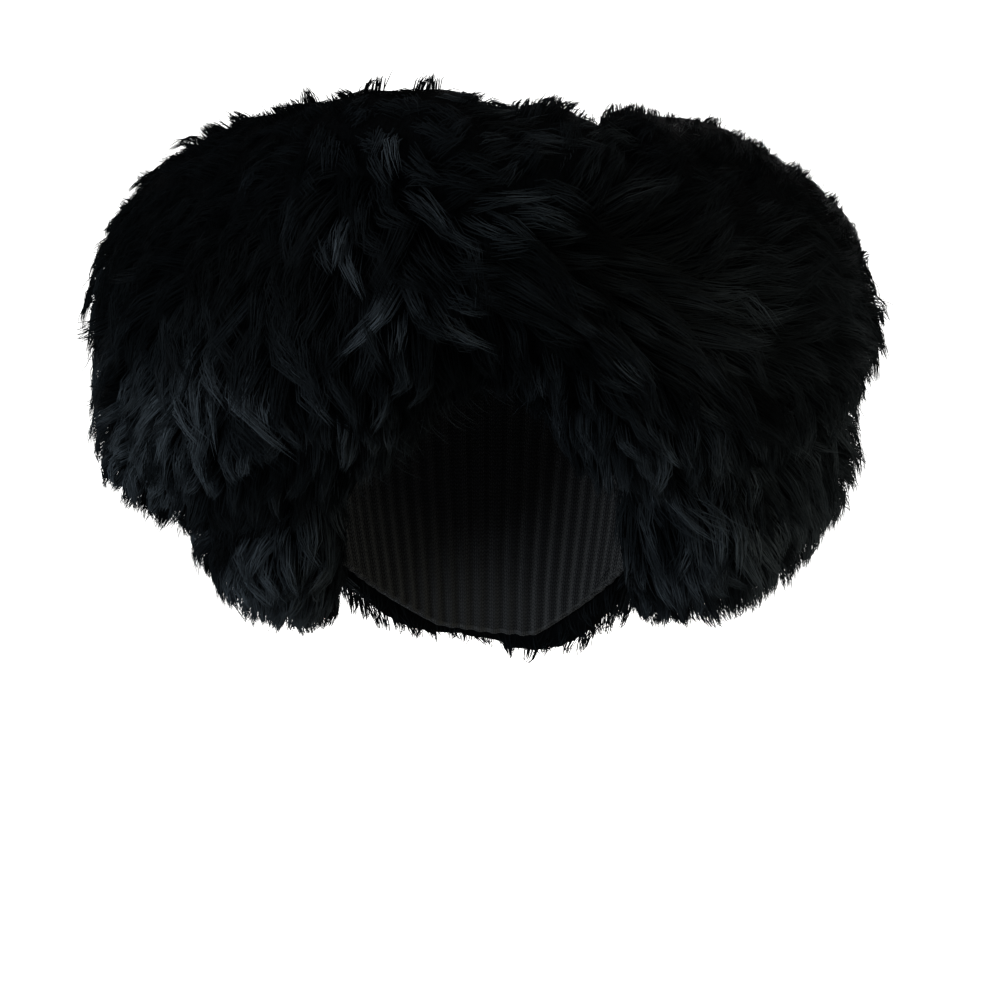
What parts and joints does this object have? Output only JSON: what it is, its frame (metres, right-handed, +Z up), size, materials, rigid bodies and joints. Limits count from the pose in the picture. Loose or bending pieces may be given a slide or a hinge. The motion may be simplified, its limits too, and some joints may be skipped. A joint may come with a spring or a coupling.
{
  "type": "fur-trimmed knit hat",
  "caption": "Warm knit cap with a deep black fur cuff over the brow, fur ear flaps and a fur nape, open at the face, shown as worn.",
  "frame": {"origin": "inner apex of the knit cap, where the top of a head bears", "axes": "+Z up, -Y out of the face opening, +X the wearer's left ear"},
  "size_m": [0.3473, 0.3087, 0.2944],
  "materials": {
    "knit": "matt black rib knit of a slightly hairy yarn",
    "fur": "long glossy black pile over dense dull underfur"
  },
  "bodies": {
    "root": {"knit_cap": "knit", "fur_brow": "fur", "fur_ear_left": "fur", "fur_ear_right": "fur", "fur_nape": "fur"}
  },
  "joints": []
}
